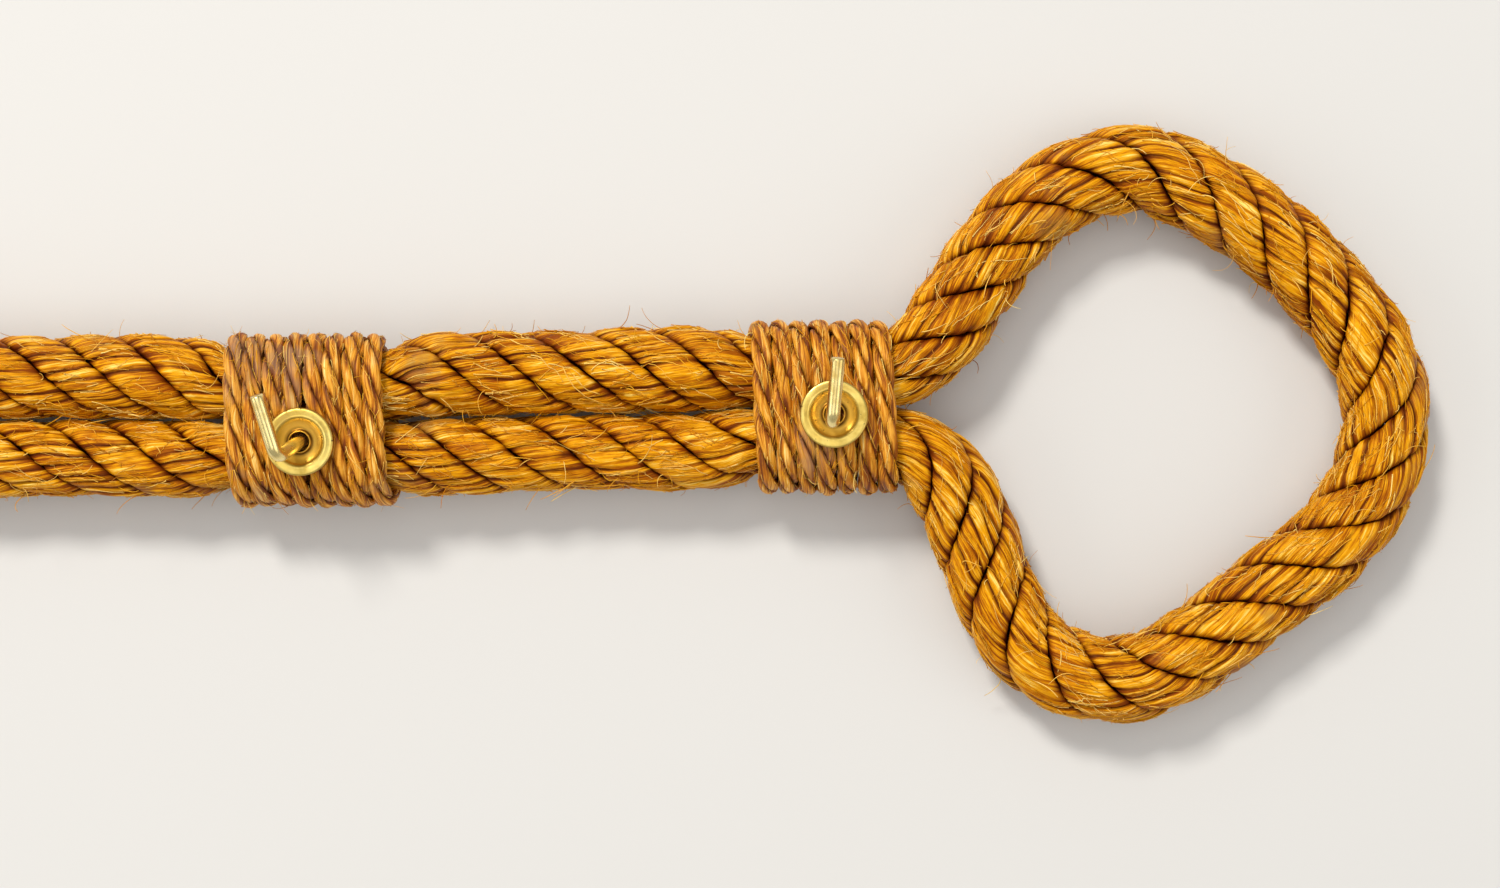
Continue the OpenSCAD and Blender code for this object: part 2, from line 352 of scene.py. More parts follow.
def lay_rope(name, centres, side, up, half_w, half_h, stations, strand, lay, hand, yarns, samples, dent,
             tightness, uneven, shade, rng, start_angle):
    """Strands of twisted yarns round a line. Returns the piece, and its points by strand, ring and column.

    side and up span the plane of each ring, and half_w and half_h are the rope's size along them. The columns
    follow the yarns. Faces carry a grain vector (way along, way across the yarn, tone) and points their
    painted shade.
    """
    rings = len(stations)
    columns = yarns * samples
    radius = float(np.mean(half_w + half_h) / 2)
    turn = 2 * math.pi * stations / lay * hand + start_angle + TWIST_WANDER * wander(rng, (), stations, lay)
    drift = -tightness * turn / strand.perimeter
    step = (np.arange(columns) % samples) / samples
    lobe = np.abs(step - 0.5) * 2
    hollow = lobe ** 3
    points = np.empty((strand.count, rings, columns, 3))
    painted_shade = np.empty((strand.count, rings, columns))
    quads, grain, fans, middles = [], [], [], []
    faces = tube_faces(rings, columns)
    yarn_w = strand.perimeter * radius / yarns
    for k in range(strand.count):
        edges = np.cumsum(rng.uniform(1 - uneven, 1 + uneven, yarns))
        edges = np.concatenate([[0], edges]) / edges[-1]
        position = np.repeat(edges[:-1], samples) + step * np.repeat(np.diff(edges), samples)
        slide = wander(rng, (yarns + 1,), stations, lay * YARN_SPAN).T * (YARN_SLIDE * uneven / yarns)
        slide[:, -1] = slide[:, 0]
        slide_before = np.repeat(slide[:, :-1], samples, axis=1)
        slide_after = np.repeat(slide[:, 1:], samples, axis=1)
        slide = slide_before * (1 - step) + slide_after * step
        swell = np.repeat(wander(rng, (yarns,), stations, lay * YARN_SPAN).T, samples, axis=1)
        cleft = np.repeat(wander(rng, (yarns,), stations, lay * CLEFT_SPAN).T, samples, axis=1)
        x, y = strand.at(position[None, :] + drift[:, None] + slide)
        away = np.hypot(x - strand.centre, y)
        valley = hollow[None, :] * np.clip(CLEFT_MEAN + CLEFT_CHANGE * cleft, *CLEFT_RANGE)
        rough = np.abs(rng.normal(0, ROUGHNESS, (rings, columns)))
        push = -dent / radius * (valley + (0.5 - 0.5 * swell) * YARN_SWELL * (1 - hollow)[None, :] + rough)
        x = x + (x - strand.centre) / away * push
        y = y + y / away * push
        angle = (turn + 2 * math.pi * k / strand.count)[:, None]
        sx = x * np.cos(angle) - y * np.sin(angle)
        sy = x * np.sin(angle) + y * np.cos(angle)
        points[k] = (
            centres[:, None, :]
            + side[:, None, :] * (sx * half_w[:, None])[..., None]
            + up[:, None, :] * (sy * half_h[:, None])[..., None]
        )
        # painted shade: darkness painted on the strands' sides below their crowns and in the clefts between
        # yarns
        sunk = np.clip((SUNK_FROM - np.hypot(x, y)) / SUNK_OVER, 0, 1) ** SUNK_POWER
        painted_shade[k] = np.clip(valley * CLEFT_SHADE + sunk, 0, 1) * shade
        first = k * rings * columns
        quads.append((faces + first).reshape(-1, 4))
        a = np.broadcast_to(stations[:-1, None], (rings - 1, columns))
        b = np.broadcast_to(stations[1:, None], a.shape)
        y0 = np.broadcast_to(step * yarn_w, a.shape)
        y1 = y0 + yarn_w / samples
        tone = (np.repeat(np.arange(yarns), samples) + STRAND_TONE * k) * YARN_TONE
        seed = np.broadcast_to(tone, a.shape)
        corners = ((a, y0, seed), (a, y1, seed), (b, y1, seed), (b, y0, seed))
        grain.append(np.stack([np.stack(corner, -1) for corner in corners], 2).reshape(-1, 3))
        for ring, outward in ((0, False), (rings - 1, True)):
            loop = first + ring * columns + np.arange(columns)
            fans.append(fan(loop, points[..., 0].size + len(middles), outward))
            middles.append(points[k, ring].mean(0))
    triangles = np.concatenate(fans)
    grain = np.concatenate([*grain, np.zeros((triangles.size, 3))])
    every_point = np.vstack([points.reshape(-1, 3), middles])
    piece = make_mesh(name, every_point, np.concatenate(quads), triangles, grain)
    # the cut ends get painted shade too
    add_point_value(piece, "painted_shade", np.concatenate([painted_shade.ravel(), np.full(len(middles), END_SHADE)]))
    return piece, points


def rope_rows():
    """The ring's route from the butt under whipping 1 and back to it, with the rope's width and height."""
    legs_and_loops = (
        (UPPER_LEG, UPPER_LEG_D),
        (RIGHT_LOOP, LOOP_D),
        (LOWER_LEG[::-1], LOWER_LEG_D),
        (LEFT_LOOP[::-1], LOOP_D),
    )
    rows = []
    for route, thick in legs_and_loops:
        for n, point in enumerate(route):
            is_leg = thick != LOOP_D
            near_whip = min(abs(abs(point[0] - m.x) - GRIP_X) for m in whip_middles) < GRIP_PLAY
            if is_leg and near_whip:
                size = (neck_w, neck_h)
            elif not is_leg and n in (1, len(route) - 2):
                size = ((neck_w + LOOP_D) / 2, (neck_h + LOOP_D) / 2)
            else:
                size = (thick, thick)
            if is_leg or 0 < n < len(route) - 1:
                rows.append((*point, *size))
    butt = (rows[0][1], rows[0][2], neck_w, neck_h)
    start = (BUTT_X + BUTT_GAP / 2, *butt)
    end = (BUTT_X - BUTT_GAP / 2, *butt)
    return [start, *rows[1:], rows[0], end]


def level_frames(centres):
    """Direction, level side and upward vector along a line that runs about level."""
    along = unit(np.gradient(centres, axis=0))
    side = unit(np.cross((0, 0, 1), along))
    return along, side, np.cross(along, side)


rows, rope_stations = smooth_line(rope_rows(), LINE_STEP)
rope_line = rows[:, :3]
rope_half = rows[:, 3:] / 2 * (1 + FLUFF)
rope_half[:, 1] = np.minimum(rope_half[:, 1], rope_line[:, 2])
rope_along, rope_side, rope_up = level_frames(rope_line)
rope, rope_surface = lay_rope(
    "rope", rope_line, rope_side, rope_up, rope_half[:, 0], rope_half[:, 1], rope_stations,
    strand=Strand(count=4, centre=0.56, radial=0.44, tangential=0.62, seam=-0.014),
    lay=ROPE_LAY, hand=1, yarns=10, samples=5, dent=0.90 * MM, tightness=1.15, uneven=0.4, shade=1.0,
    rng=np.random.default_rng(11), start_angle=0.6,
)

# ---------------------------------------------------------------- twine whippings

PARTING = 0.4  # share of a turn over which the twine steps across the shank's gap
PARTED_WIDTH = 7 * MM  # the turns part over this distance on each side of the shank
SHOVE = 0.35 * MM  # how far the shank pushes the nearest turns aside
SHOVE_WIDTH = 3 * MM  # across the legs
SHOVE_TURNS = 2.5  # turns until the push has faded
LOOSENESS = 0.5 * MM  # how far a turn may stand off at the sides
TWINE_SWAY = 0.16 * MM  # how far the twine wanders along the legs
SWAY_SPAN = 0.03  # length of twine over which it does
TAIL = 0.016  # length of twine at each end that dips under the turns
TAIL_DEPTH = 0.35  # share of the way to the middle that it dips
TAIL_SLANT = 0.25  # share of the dip by which it also moves in along the legs
TWINE_WIDTH = 1.18  # width of the twine along the legs, as a share of its thickness


def hook_joint(number):
    """The record's joint that turns a hook about its shank."""
    return next(j for j in frame["joints"] if j["name"] == f"hook_{number}_turn")


def twine_line(number):
    """Twine round both legs: it starts below, climbs the +Y side and crosses the top towards -Y.

    Returns its line and the distances along it.
    """
    middle, size = whip_box(number)
    turns = WHIP_TURNS[number - 1]
    before = TURNS_BEFORE_SHANK[number - 1]
    rng = np.random.default_rng(40 + number)
    radius = (neck_h + twine_d) / 2
    flat = neck_w - neck_h / 2
    arc = math.pi * radius
    lap = 2 * arc + 4 * flat
    travel = np.arange(0, turns * lap, LINE_STEP)
    q = travel / lap
    place = travel % lap
    y = np.empty_like(place)
    z = np.empty_like(place)
    stretches = (
        (0, flat, "under"),
        (flat, flat + arc, "rise"),
        (flat + arc, 3 * flat + arc, "over"),
        (3 * flat + arc, 3 * flat + 2 * arc, "fall"),
        (3 * flat + 2 * arc, lap, "under"),
    )
    for low, high, kind in stretches:
        on = (place >= low) & (place <= high)
        run = place[on] - low
        if kind == "under":
            y[on] = run if low == 0 else run - flat
            z[on] = -radius
        elif kind == "rise":
            y[on] = flat + radius * np.sin(run / radius)
            z[on] = -radius * np.cos(run / radius)
        elif kind == "over":
            y[on] = flat - run
            z[on] = radius
        else:
            y[on] = -flat - radius * np.sin(run / radius)
            z[on] = radius * np.cos(run / radius)
    part = np.clip((q - before + PARTING / 2) / PARTING, 0, 1)
    parted = q * twine_d + SHANK_GAP * part * part * (3 - 2 * part)
    foot_y = hook_joint(number)["pos_m"][1] - middle.y
    by_shank = np.exp(-(((y - foot_y) / PARTED_WIDTH) ** 2)) * (z > 0)
    shove = np.where(q < before, -1, 1) * np.clip(1 - np.abs(q - before) / SHOVE_TURNS, 0, 1)
    tight = np.exp(-(((y - foot_y) / SHOVE_WIDTH) ** 2)) * (z > 0)
    even = middle.x - size.x / 2 + q * size.x / turns * (1 - by_shank)
    x = even + parted * by_shank + SHOVE * shove * tight
    turn_number = np.floor(q).astype(int)
    loose = rng.uniform(0, LOOSENESS, turns + 1)[turn_number]
    y = y + np.sign(y) * loose * np.clip(np.abs(y) / (flat + radius), 0, 1) ** 2
    x = x + TWINE_SWAY * wander(rng, (), travel, SWAY_SPAN)
    tail = np.maximum(1 - travel / TAIL, 0) + np.maximum(1 - (travel[-1] - travel) / TAIL, 0)
    inward = np.clip(1 - TAIL_DEPTH * tail * tail, 0, 1)
    x = middle.x + (x - middle.x) * (1 - TAIL_SLANT * (1 - inward))
    return np.stack([x, middle.y + y * inward, middle.z + z * inward], 1), travel


def add_whipping(number):
    """A whipping's twine. Returns its piece and surface, its direction, the legs' middle and its radius."""
    line, travel = twine_line(number)
    middle, _ = whip_box(number)
    flat = neck_w - neck_h / 2
    along = unit(np.gradient(line, axis=0))
    core = line.copy()
    core[:, 1] = middle.y + np.clip(line[:, 1] - middle.y, -flat, flat)
    core[:, 2] = middle.z
    out = unit(line - core)
    out = unit(out - along * np.sum(out * along, 1, keepdims=True))
    half = np.full(len(line), twine_d / 2)
    piece, surface = lay_rope(
        f"whipping_{number}_twine", line, out, np.cross(along, out), half, half * TWINE_WIDTH, travel,
        strand=Strand(count=3, centre=0.48, radial=0.52, tangential=0.63, seam=-0.012),
        lay=TWINE_LAY, hand=-1, yarns=3, samples=5, dent=0.20 * MM, tightness=0.9, uneven=0.5, shade=0.65,
        rng=np.random.default_rng(60 + number), start_angle=0.5 * number,
    )
    return piece, surface, along, core, half


whippings = [add_whipping(n) for n in NUMBERS]

# ---------------------------------------------------------------- stray fibres

FIBRE_POINTS = 8
FIBRE_TIP = 0.45  # thickness of a fibre's far end, as a share of its root's
FIBRE_TONE = 1.7  # step from fibre to fibre of the number that its tone is drawn from
CROSSWISE = (0.3, 0.5, 0.81)  # a slanted direction, from which each fibre's width is laid out
CROWN = 0.86  # share of the rope's radius that loose fibres start outside of
CROWN_LYING = 0.87  # and that clinging fibres stay outside of
END_RINGS = 4  # rings at each end of the rope or twine without fibres
LIFT = 0.6  # greatest slope at which a loose fibre rises
YAW = 0.5  # spread of the loose fibres' directions, in radians
CURL = 0.20  # spread of the bend that each loose fibre keeps to
DROOP = 0.05
KINK = 0.06  # spread of the change of direction at each point
SLANT = 0.55  # spread of the clinging fibres' drift, in columns for each ring
WIDTHS = (0.55, 1.25)  # thinnest and thickest fibre, as shares of the usual
LOWEST = 0.1 * MM  # least height of a fibre over the floor
ROOT_DEPTH = 0.1 * MM  # of a loose fibre's root in the rope


def thread_mesh(name, lines, thick):
    """Three-sided threads that taper to their far ends. lines holds steps, threads and coordinates."""
    steps, count, _ = lines.shape
    way = np.gradient(lines, axis=0)
    around = unit(np.cross(way, CROSSWISE))
    across = unit(np.cross(way, around))
    width = thick[None, :, None] * np.linspace(1, FIBRE_TIP, steps)[:, None, None]
    turns = (0, 2 * math.pi / 3, 4 * math.pi / 3)
    tube = np.stack([lines + width * (around * math.cos(a) + across * math.sin(a)) for a in turns], 2)
    tube = tube.transpose(1, 0, 2, 3)
    offsets = np.arange(count)[:, None, None] * steps * 3
    faces = tube_faces(steps, 3).reshape(-1, 4)
    ends = np.array([[2, 1, 0], [steps * 3 - 3, steps * 3 - 2, steps * 3 - 1]])
    quads = (faces[None] + offsets).reshape(-1, 4)
    triangles = (ends[None] + offsets).reshape(-1, 3)
    grain = np.zeros((quads.size + triangles.size, 3))
    tone = np.arange(count) * FIBRE_TONE
    grain[:, 2] = np.concatenate([np.repeat(tone, faces.size), np.repeat(tone, ends.size)])
    return make_mesh(name, tube.reshape(-1, 3), quads, triangles, grain)


def flying_hairs(surface, along, core, half, count, length, rng):
    """Lines of loose fibres that start in the surface, lift away from it and curl."""
    strands, rings, columns, _ = surface.shape
    i = rng.integers(END_RINGS, rings - END_RINGS, count * 4)
    start = surface[rng.integers(0, strands, i.size), i, rng.integers(0, columns, i.size)]
    out = start - core[i]
    keep = np.linalg.norm(out, axis=1) > CROWN * half[i]
    i, start, out = i[keep][:count], start[keep][:count], unit(out[keep][:count])
    count = len(start)
    forward = along[i] * rng.choice([-1, 1], count)[:, None]
    yaw = rng.normal(0, YAW, count)[:, None]
    rise = (LIFT * rng.random(count) ** 1.6)[:, None]
    way = unit(forward * np.cos(yaw) + np.cross(out, forward) * np.sin(yaw) + out * rise)
    pace = (length[0] + (length[1] - length[0]) * rng.random(count) ** 2)[:, None] / (FIBRE_POINTS - 1)
    curl = rng.normal(0, CURL, (count, 3)) - out * DROOP
    line = [start - out * ROOT_DEPTH]
    for _ in range(FIBRE_POINTS - 1):
        line.append(line[-1] + way * pace)
        way = unit(way + curl + rng.normal(0, KINK, (count, 3)))
    line = np.array(line)
    line[..., 2] = np.maximum(line[..., 2], LOWEST)
    return line


def clinging_hairs(surface, core, half, count, rings_long, lift, rng):
    """Lines of fibres that lie along the yarns and stand off a little at their ends."""
    strands, rings, columns, _ = surface.shape
    tries = count * 5
    k = rng.integers(0, strands, tries)
    stride = rng.uniform(rings_long[0], rings_long[1], tries) / (FIBRE_POINTS - 1)
    i = rng.uniform(END_RINGS, rings - END_RINGS - 1 - rings_long[1], tries)
    c = rng.uniform(0, columns, tries)
    slant = rng.normal(0, SLANT, tries)
    lines, reach = [], []
    for n in range(FIBRE_POINTS):
        ring = (i + n * stride).astype(int)
        column = c + n * stride * slant
        left = np.floor(column).astype(int)
        mix = (column - left)[:, None]
        point = surface[k, ring, left % columns] * (1 - mix)
        point = point + surface[k, ring, (left + 1) % columns] * mix
        out = point - core[ring]
        reach.append(np.linalg.norm(out, axis=1) / half[ring])
        stand = lift * (0.25 + (2 * n / (FIBRE_POINTS - 1) - 1) ** 4 * rng.random(tries))
        lines.append(point + unit(out) * stand[:, None])
    keep = np.min(reach, axis=0) > CROWN_LYING
    line = np.array(lines)[:, keep][:, :count]
    line[..., 2] = np.maximum(line[..., 2], LOWEST)
    return line


def clear_of_hooks(lines):
    """True for each fibre that stays out of the space in which a hook turns and a disc slides."""
    clear = np.ones(lines.shape[1], bool)
    for n in NUMBERS:
        foot = np.array(hook_joint(n)["pos_m"])
        shank = unit(np.array(hook_joint(n)["axis"]))
        away = lines - foot
        swept = (np.hypot(away[..., 0], away[..., 1]) < HOOK_SWEEP) & (away[..., 2] > FIBRE_RISE)
        off_shank = np.linalg.norm(away - (away @ shank)[..., None] * shank, axis=-1)
        clear &= ~np.any(swept | (off_shank < SHANK_CLEAR), axis=0)
    return clear


def under_twine(lines):
    """True for each fibre that lies wholly under a whipping, where nobody sees it."""
    hidden = np.zeros(lines.shape[1], bool)
    for n in NUMBERS:
        middle, size = whip_box(n)
        hidden |= np.all(np.abs(lines[..., 0] - middle.x) < size.x / 2 - twine_d / 2, axis=0)
    return hidden


def add_fibres(name, pieces, covered, surface, along, core, half, flying, clinging, length, rings_long,
               thick, seed):
    """The loose fibres of one rope or one twine, dealt out in order along it into some pieces.

    flying and clinging count the fibres of each kind. covered says that whippings hide some of them.
    """
    rng = np.random.default_rng(seed)
    loose = flying_hairs(surface, along, core, half, flying, length, rng)
    lying = clinging_hairs(surface, core, half, clinging, rings_long, 3 * thick, rng)
    lines = np.concatenate([loose, lying], axis=1)
    lines = lines[:, clear_of_hooks(lines) & ~(covered & under_twine(lines))]
    widths = thick * rng.uniform(*WIDTHS, lines.shape[1])
    places = np.argsort(lines[0, :, 0])
    return [
        thread_mesh(f"{name}_{n + 1}", lines[:, share], widths[share])
        for n, share in enumerate(np.array_split(places, pieces))
    ]


hairs = add_fibres(
    "rope_stray_fibres", 4, True, rope_surface, rope_along, rope_line, rope_half.min(1),
    flying=3400, clinging=9000, length=(0.002, 0.009), rings_long=(4, 13), thick=0.13 * MM, seed=7,
)
twine_hairs = []
for n, (_, surface, along, core, half) in enumerate(whippings, 1):
    twine_hairs += add_fibres(
        f"whipping_{n}_fibres", 1, False, surface, along, core, half,
        flying=260, clinging=1500, length=(0.002, 0.007), rings_long=(4, 14), thick=0.10 * MM, seed=80 + n,
    )

# ---------------------------------------------------------------- brass hooks and discs

WIRE_COLUMNS = 36
THREAD_STEP = 0.12 * MM
THREAD_FOOT = 0.35  # half width of a thread's ridge, as a share of its pitch
TIP_TURNS = 3  # turns of thread over which the screw narrows to its point
TIP_RADIUS = 0.05 * MM
PLAIN_RINGS = 12  # rings along the plain shank, the bend and the arm
BEND_RINGS = 13
ARM_RINGS = 11
BEVEL_PLACES = (0.3, 0.75, 1.0, 1.0)  # rings on the arm's cut end, as shares of the bevel
BEVEL_RADII = (0.98, 0.88, 0.76, 0.4)  # and their radii, as shares of the wire's
DISC_SEGMENTS = 96


def sweep(name, line, side, up, radii, columns, grain_along):
    """Round wire along a line. radii holds one for each ring and column, grain_along one for each ring."""
    rings = len(line)
    angle = np.arange(columns) * 2 * math.pi / columns
    circle = side[:, None] * np.cos(angle)[:, None] + up[:, None] * np.sin(angle)[:, None]
    points = line[:, None] + circle * radii[..., None]
    faces = tube_faces(rings, columns)
    way = np.broadcast_to(grain_along[:, None], (rings, columns))
    a = way[:-1]
    b = way[1:]
    widest = float(radii.max())
    y0 = np.broadcast_to(angle * widest, a.shape)
    y1 = y0 + 2 * math.pi / columns * widest
    zero = np.zeros_like(a)
    corners = ((a, y0, zero), (a, y1, zero), (b, y1, zero), (b, y0, zero))
    grain = np.stack([np.stack(corner, -1) for corner in corners], 2)
    ring = np.arange(columns)
    first_end = fan(ring, rings * columns, False)
    last_end = fan(ring + (rings - 1) * columns, rings * columns + 1, True)
    triangles = np.concatenate([first_end, last_end])
    grain = np.concatenate([grain.reshape(-1, 3), np.zeros((triangles.size, 3))])
    every_point = np.vstack([points.reshape(-1, 3), line[:1], line[-1:]])
    return make_mesh(name, every_point, faces.reshape(-1, 4), triangles, grain)


def add_hook(number):
    """Square-bend screw hook, from the record's turning axis and arm."""
    joint = hook_joint(number)
    mount = next(m for m in frame["record"]["mounts"] if m["name"] == f"arm_{number}")
    foot = np.array(joint["pos_m"])
    shank = unit(np.array(joint["axis"]))
    arm = unit(np.array(mount["axis"]))
    middle = np.array(mount["pos_m"])
    wire_r = mount["dims"]["r_mm"] * MM
    half = mount["dims"]["length_mm"] * MM / 2
    rise = float((middle - foot) @ shank)
    bend_r = float((middle - foot) @ arm) - half
    across = np.cross(arm, shank)
    core_r = wire_r - THREAD_DEPTH
    thread_top = THREAD_LENGTH - SCREW_DEPTH
    thread = np.arange(-SCREW_DEPTH, thread_top + 0.1 * MM, THREAD_STEP)
    plain = np.linspace(thread[-1] + 0.2 * MM, rise - bend_r, PLAIN_RINGS)
    heights = np.concatenate([thread, plain])
    swing = np.linspace(0, math.pi / 2, BEND_RINGS + 1)[1:]
    reach = np.linspace(0, 2 * half, ARM_RINGS + 1)[1:]
    bend_foot = foot + shank * (rise - bend_r)
    line = [foot + shank * h for h in heights]
    line += [bend_foot + shank * bend_r * math.sin(a) + arm * bend_r * (1 - math.cos(a)) for a in swing]
    line += [foot + shank * rise + arm * (bend_r + r) for r in reach]
    line += [line[-1] + arm * ARM_BEVEL * share for share in BEVEL_PLACES]
    line = np.array(line)
    ways = [shank] * len(heights)
    ways += [shank * math.cos(a) + arm * math.sin(a) for a in swing]
    ways += [arm] * (len(line) - len(ways))
    side = np.cross(across, np.array(ways))
    up = np.broadcast_to(-across, side.shape)
    radii = np.full((len(line), WIRE_COLUMNS), wire_r)
    angle = np.arange(WIRE_COLUMNS) / WIRE_COLUMNS
    phase = (thread[:, None] / THREAD_PITCH - angle) % 1
    ridge = np.clip(1 - np.abs(phase - 0.5) / THREAD_FOOT, 0, 1)
    depth = thread[:, None] + SCREW_DEPTH
    sharp = np.clip(depth / (TIP_TURNS * THREAD_PITCH), 0, 1) ** 0.7
    fade = np.clip((THREAD_LENGTH - depth) / THREAD_PITCH, 0, 1)
    body = core_r + (wire_r - core_r) * np.maximum(ridge, 1 - fade)
    radii[: len(thread)] = np.maximum(body * sharp, TIP_RADIUS)
    radii[-len(BEVEL_RADII):] = np.array(BEVEL_RADII)[:, None] * wire_r
    grain_along = np.concatenate([[0], np.cumsum(np.linalg.norm(np.diff(line, axis=0), axis=1))])
    return sweep(f"hook_{number}_wire", line, side, up, radii, WIRE_COLUMNS, grain_along)


# Half a section of the disc, in millimetres from its axis and foot: up the collar, along the dish, out to the
# rim, and back underneath
DISC_PROFILE = [
    (2.20, 0.40), (2.20, 1.55), (2.26, 1.68), (2.36, 1.70), (2.46, 1.66), (2.52, 1.50),
    (2.60, 1.20), (2.75, 1.00), (3.00, 0.95), (3.50, 0.97), (4.10, 1.06), (4.70, 1.24),
    (4.95, 1.40), (5.12, 1.58), (5.30, 1.72), (5.50, 1.79), (5.70, 1.80), (5.85, 1.77),
    (6.00, 1.79), (6.50, 1.87), (6.95, 1.90), (7.20, 1.86), (7.38, 1.74), (7.47, 1.58),
    (7.50, 1.38), (7.50, 0.70), (7.50, 0.06), (7.45, 0.00), (7.00, 0.00), (6.95, 0.06),
    (6.95, 1.18), (6.85, 1.27), (5.75, 1.17), (5.45, 1.10), (5.20, 0.95), (4.80, 0.72),
    (4.00, 0.50), (3.00, 0.40),
]


def add_disc(number):
    """Pressed dished disc round the shank, turned from its profile."""
    low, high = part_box(f"disc_{number}")
    centre = (low + high) / 2
    profile = np.array(DISC_PROFILE) * MM
    columns = len(profile)
    angle = np.arange(DISC_SEGMENTS)[:, None] * 2 * math.pi / DISC_SEGMENTS
    x = centre.x + profile[:, 0] * np.cos(angle)
    y = centre.y + profile[:, 0] * np.sin(angle)
    z = np.broadcast_to(low.z + profile[:, 1], x.shape)
    points = np.stack([x, y, z], -1)
    i, c = np.meshgrid(np.arange(DISC_SEGMENTS), np.arange(columns), indexing="ij")
    j = (i + 1) % DISC_SEGMENTS
    d = (c + 1) % columns
    quads = np.stack([i * columns + c, i * columns + d, j * columns + d, j * columns + c], -1)
    a0 = i * 2 * math.pi / DISC_SEGMENTS
    a1 = a0 + 2 * math.pi / DISC_SEGMENTS
    r0 = profile[c, 0]
    r1 = profile[d, 0]
    one = np.ones(r0.shape)
    corners = ((r0, a0, one), (r1, a0, one), (r1, a1, one), (r0, a1, one))
    grain = np.stack([np.stack(corner, -1) for corner in corners], 2)
    points = points.reshape(-1, 3)
    no_triangles = np.empty((0, 3), int)
    return make_mesh(f"disc_{number}_brass", points, quads.reshape(-1, 4), no_triangles, grain.reshape(-1, 3))


hooks = [add_hook(n) for n in NUMBERS]
discs = [add_disc(n) for n in NUMBERS]

# ---------------------------------------------------------------- materials


class Recipe:
    """A procedural material under construction. Each method adds one node and gives its output."""

    def __init__(self, name):
        self.material = bpy.data.materials.new(name)
        self.material.use_nodes = True
        self.tree = self.material.node_tree
        self.shader = self.tree.nodes["Principled BSDF"]

    def feed(self, socket, value):
        if isinstance(value, bpy.types.NodeSocket):
            self.tree.links.new(value, socket)
        else:
            socket.default_value = value

    def attribute(self, name, output="Fac"):
        node = self.tree.nodes.new("ShaderNodeAttribute")
        node.attribute_name = name
        return node.outputs[output]

    def place(self):
        return self.tree.nodes.new("ShaderNodeTexCoord").outputs["Object"]

    def math(self, operation, a, b=0.0, clamp=False):
        node = self.tree.nodes.new("ShaderNodeMath")
        node.operation = operation
        node.use_clamp = clamp
        self.feed(node.inputs[0], a)
        self.feed(node.inputs[1], b)
        return node.outputs[0]

    def scaled(self, vector, factors):
        node = self.tree.nodes.new("ShaderNodeVectorMath")
        node.operation = "MULTIPLY"
        self.feed(node.inputs[0], vector)
        node.inputs[1].default_value = factors
        return node.outputs[0]

    def noise(self, vector, scale, detail=2.0, roughness=0.5, distortion=0.0):
        node = self.tree.nodes.new("ShaderNodeTexNoise")
        self.feed(node.inputs["Vector"], vector)
        node.inputs["Scale"].default_value = scale
        node.inputs["Detail"].default_value = detail
        node.inputs["Roughness"].default_value = roughness
        node.inputs["Distortion"].default_value = distortion
        return node.outputs["Fac"]

    def span(self, value, low, high, to_low=0.0, to_high=1.0):
        node = self.tree.nodes.new("ShaderNodeMapRange")
        self.feed(node.inputs["Value"], value)
        node.inputs["From Min"].default_value = low
        node.inputs["From Max"].default_value = high
        node.inputs["To Min"].default_value = to_low
        node.inputs["To Max"].default_value = to_high
        return node.outputs["Result"]

    def mix(self, factor, a, b, blend="MIX"):
        node = self.tree.nodes.new("ShaderNodeMix")
        node.data_type = "RGBA"
        node.blend_type = blend
        self.feed(node.inputs[0], factor)
        self.feed(node.inputs[6], a)
        self.feed(node.inputs[7], b)
        return node.outputs[2]

    def chance(self, value):
        node = self.tree.nodes.new("ShaderNodeTexWhiteNoise")
        node.noise_dimensions = "1D"
        self.feed(node.inputs["W"], value)
        return node.outputs["Value"]

    def bump(self, height, distance, strength=1.0, normal=None):
        node = self.tree.nodes.new("ShaderNodeBump")
        node.inputs["Distance"].default_value = distance
        node.inputs["Strength"].default_value = strength
        self.feed(node.inputs["Height"], height)
        if normal is not None:
            self.feed(node.inputs["Normal"], normal)
        return node.outputs["Normal"]

    def split(self, vector):
        """The three parts of a vector."""
        node = self.tree.nodes.new("ShaderNodeSeparateXYZ")
        self.feed(node.inputs[0], vector)
        return node.outputs

    def weighted(self, parts):
        """The sum of some values, each times its weight."""
        total = self.math("MULTIPLY", *parts[0])
        for value, weight in parts[1:]:
            total = self.math("ADD", total, self.math("MULTIPLY", value, weight))
        return total


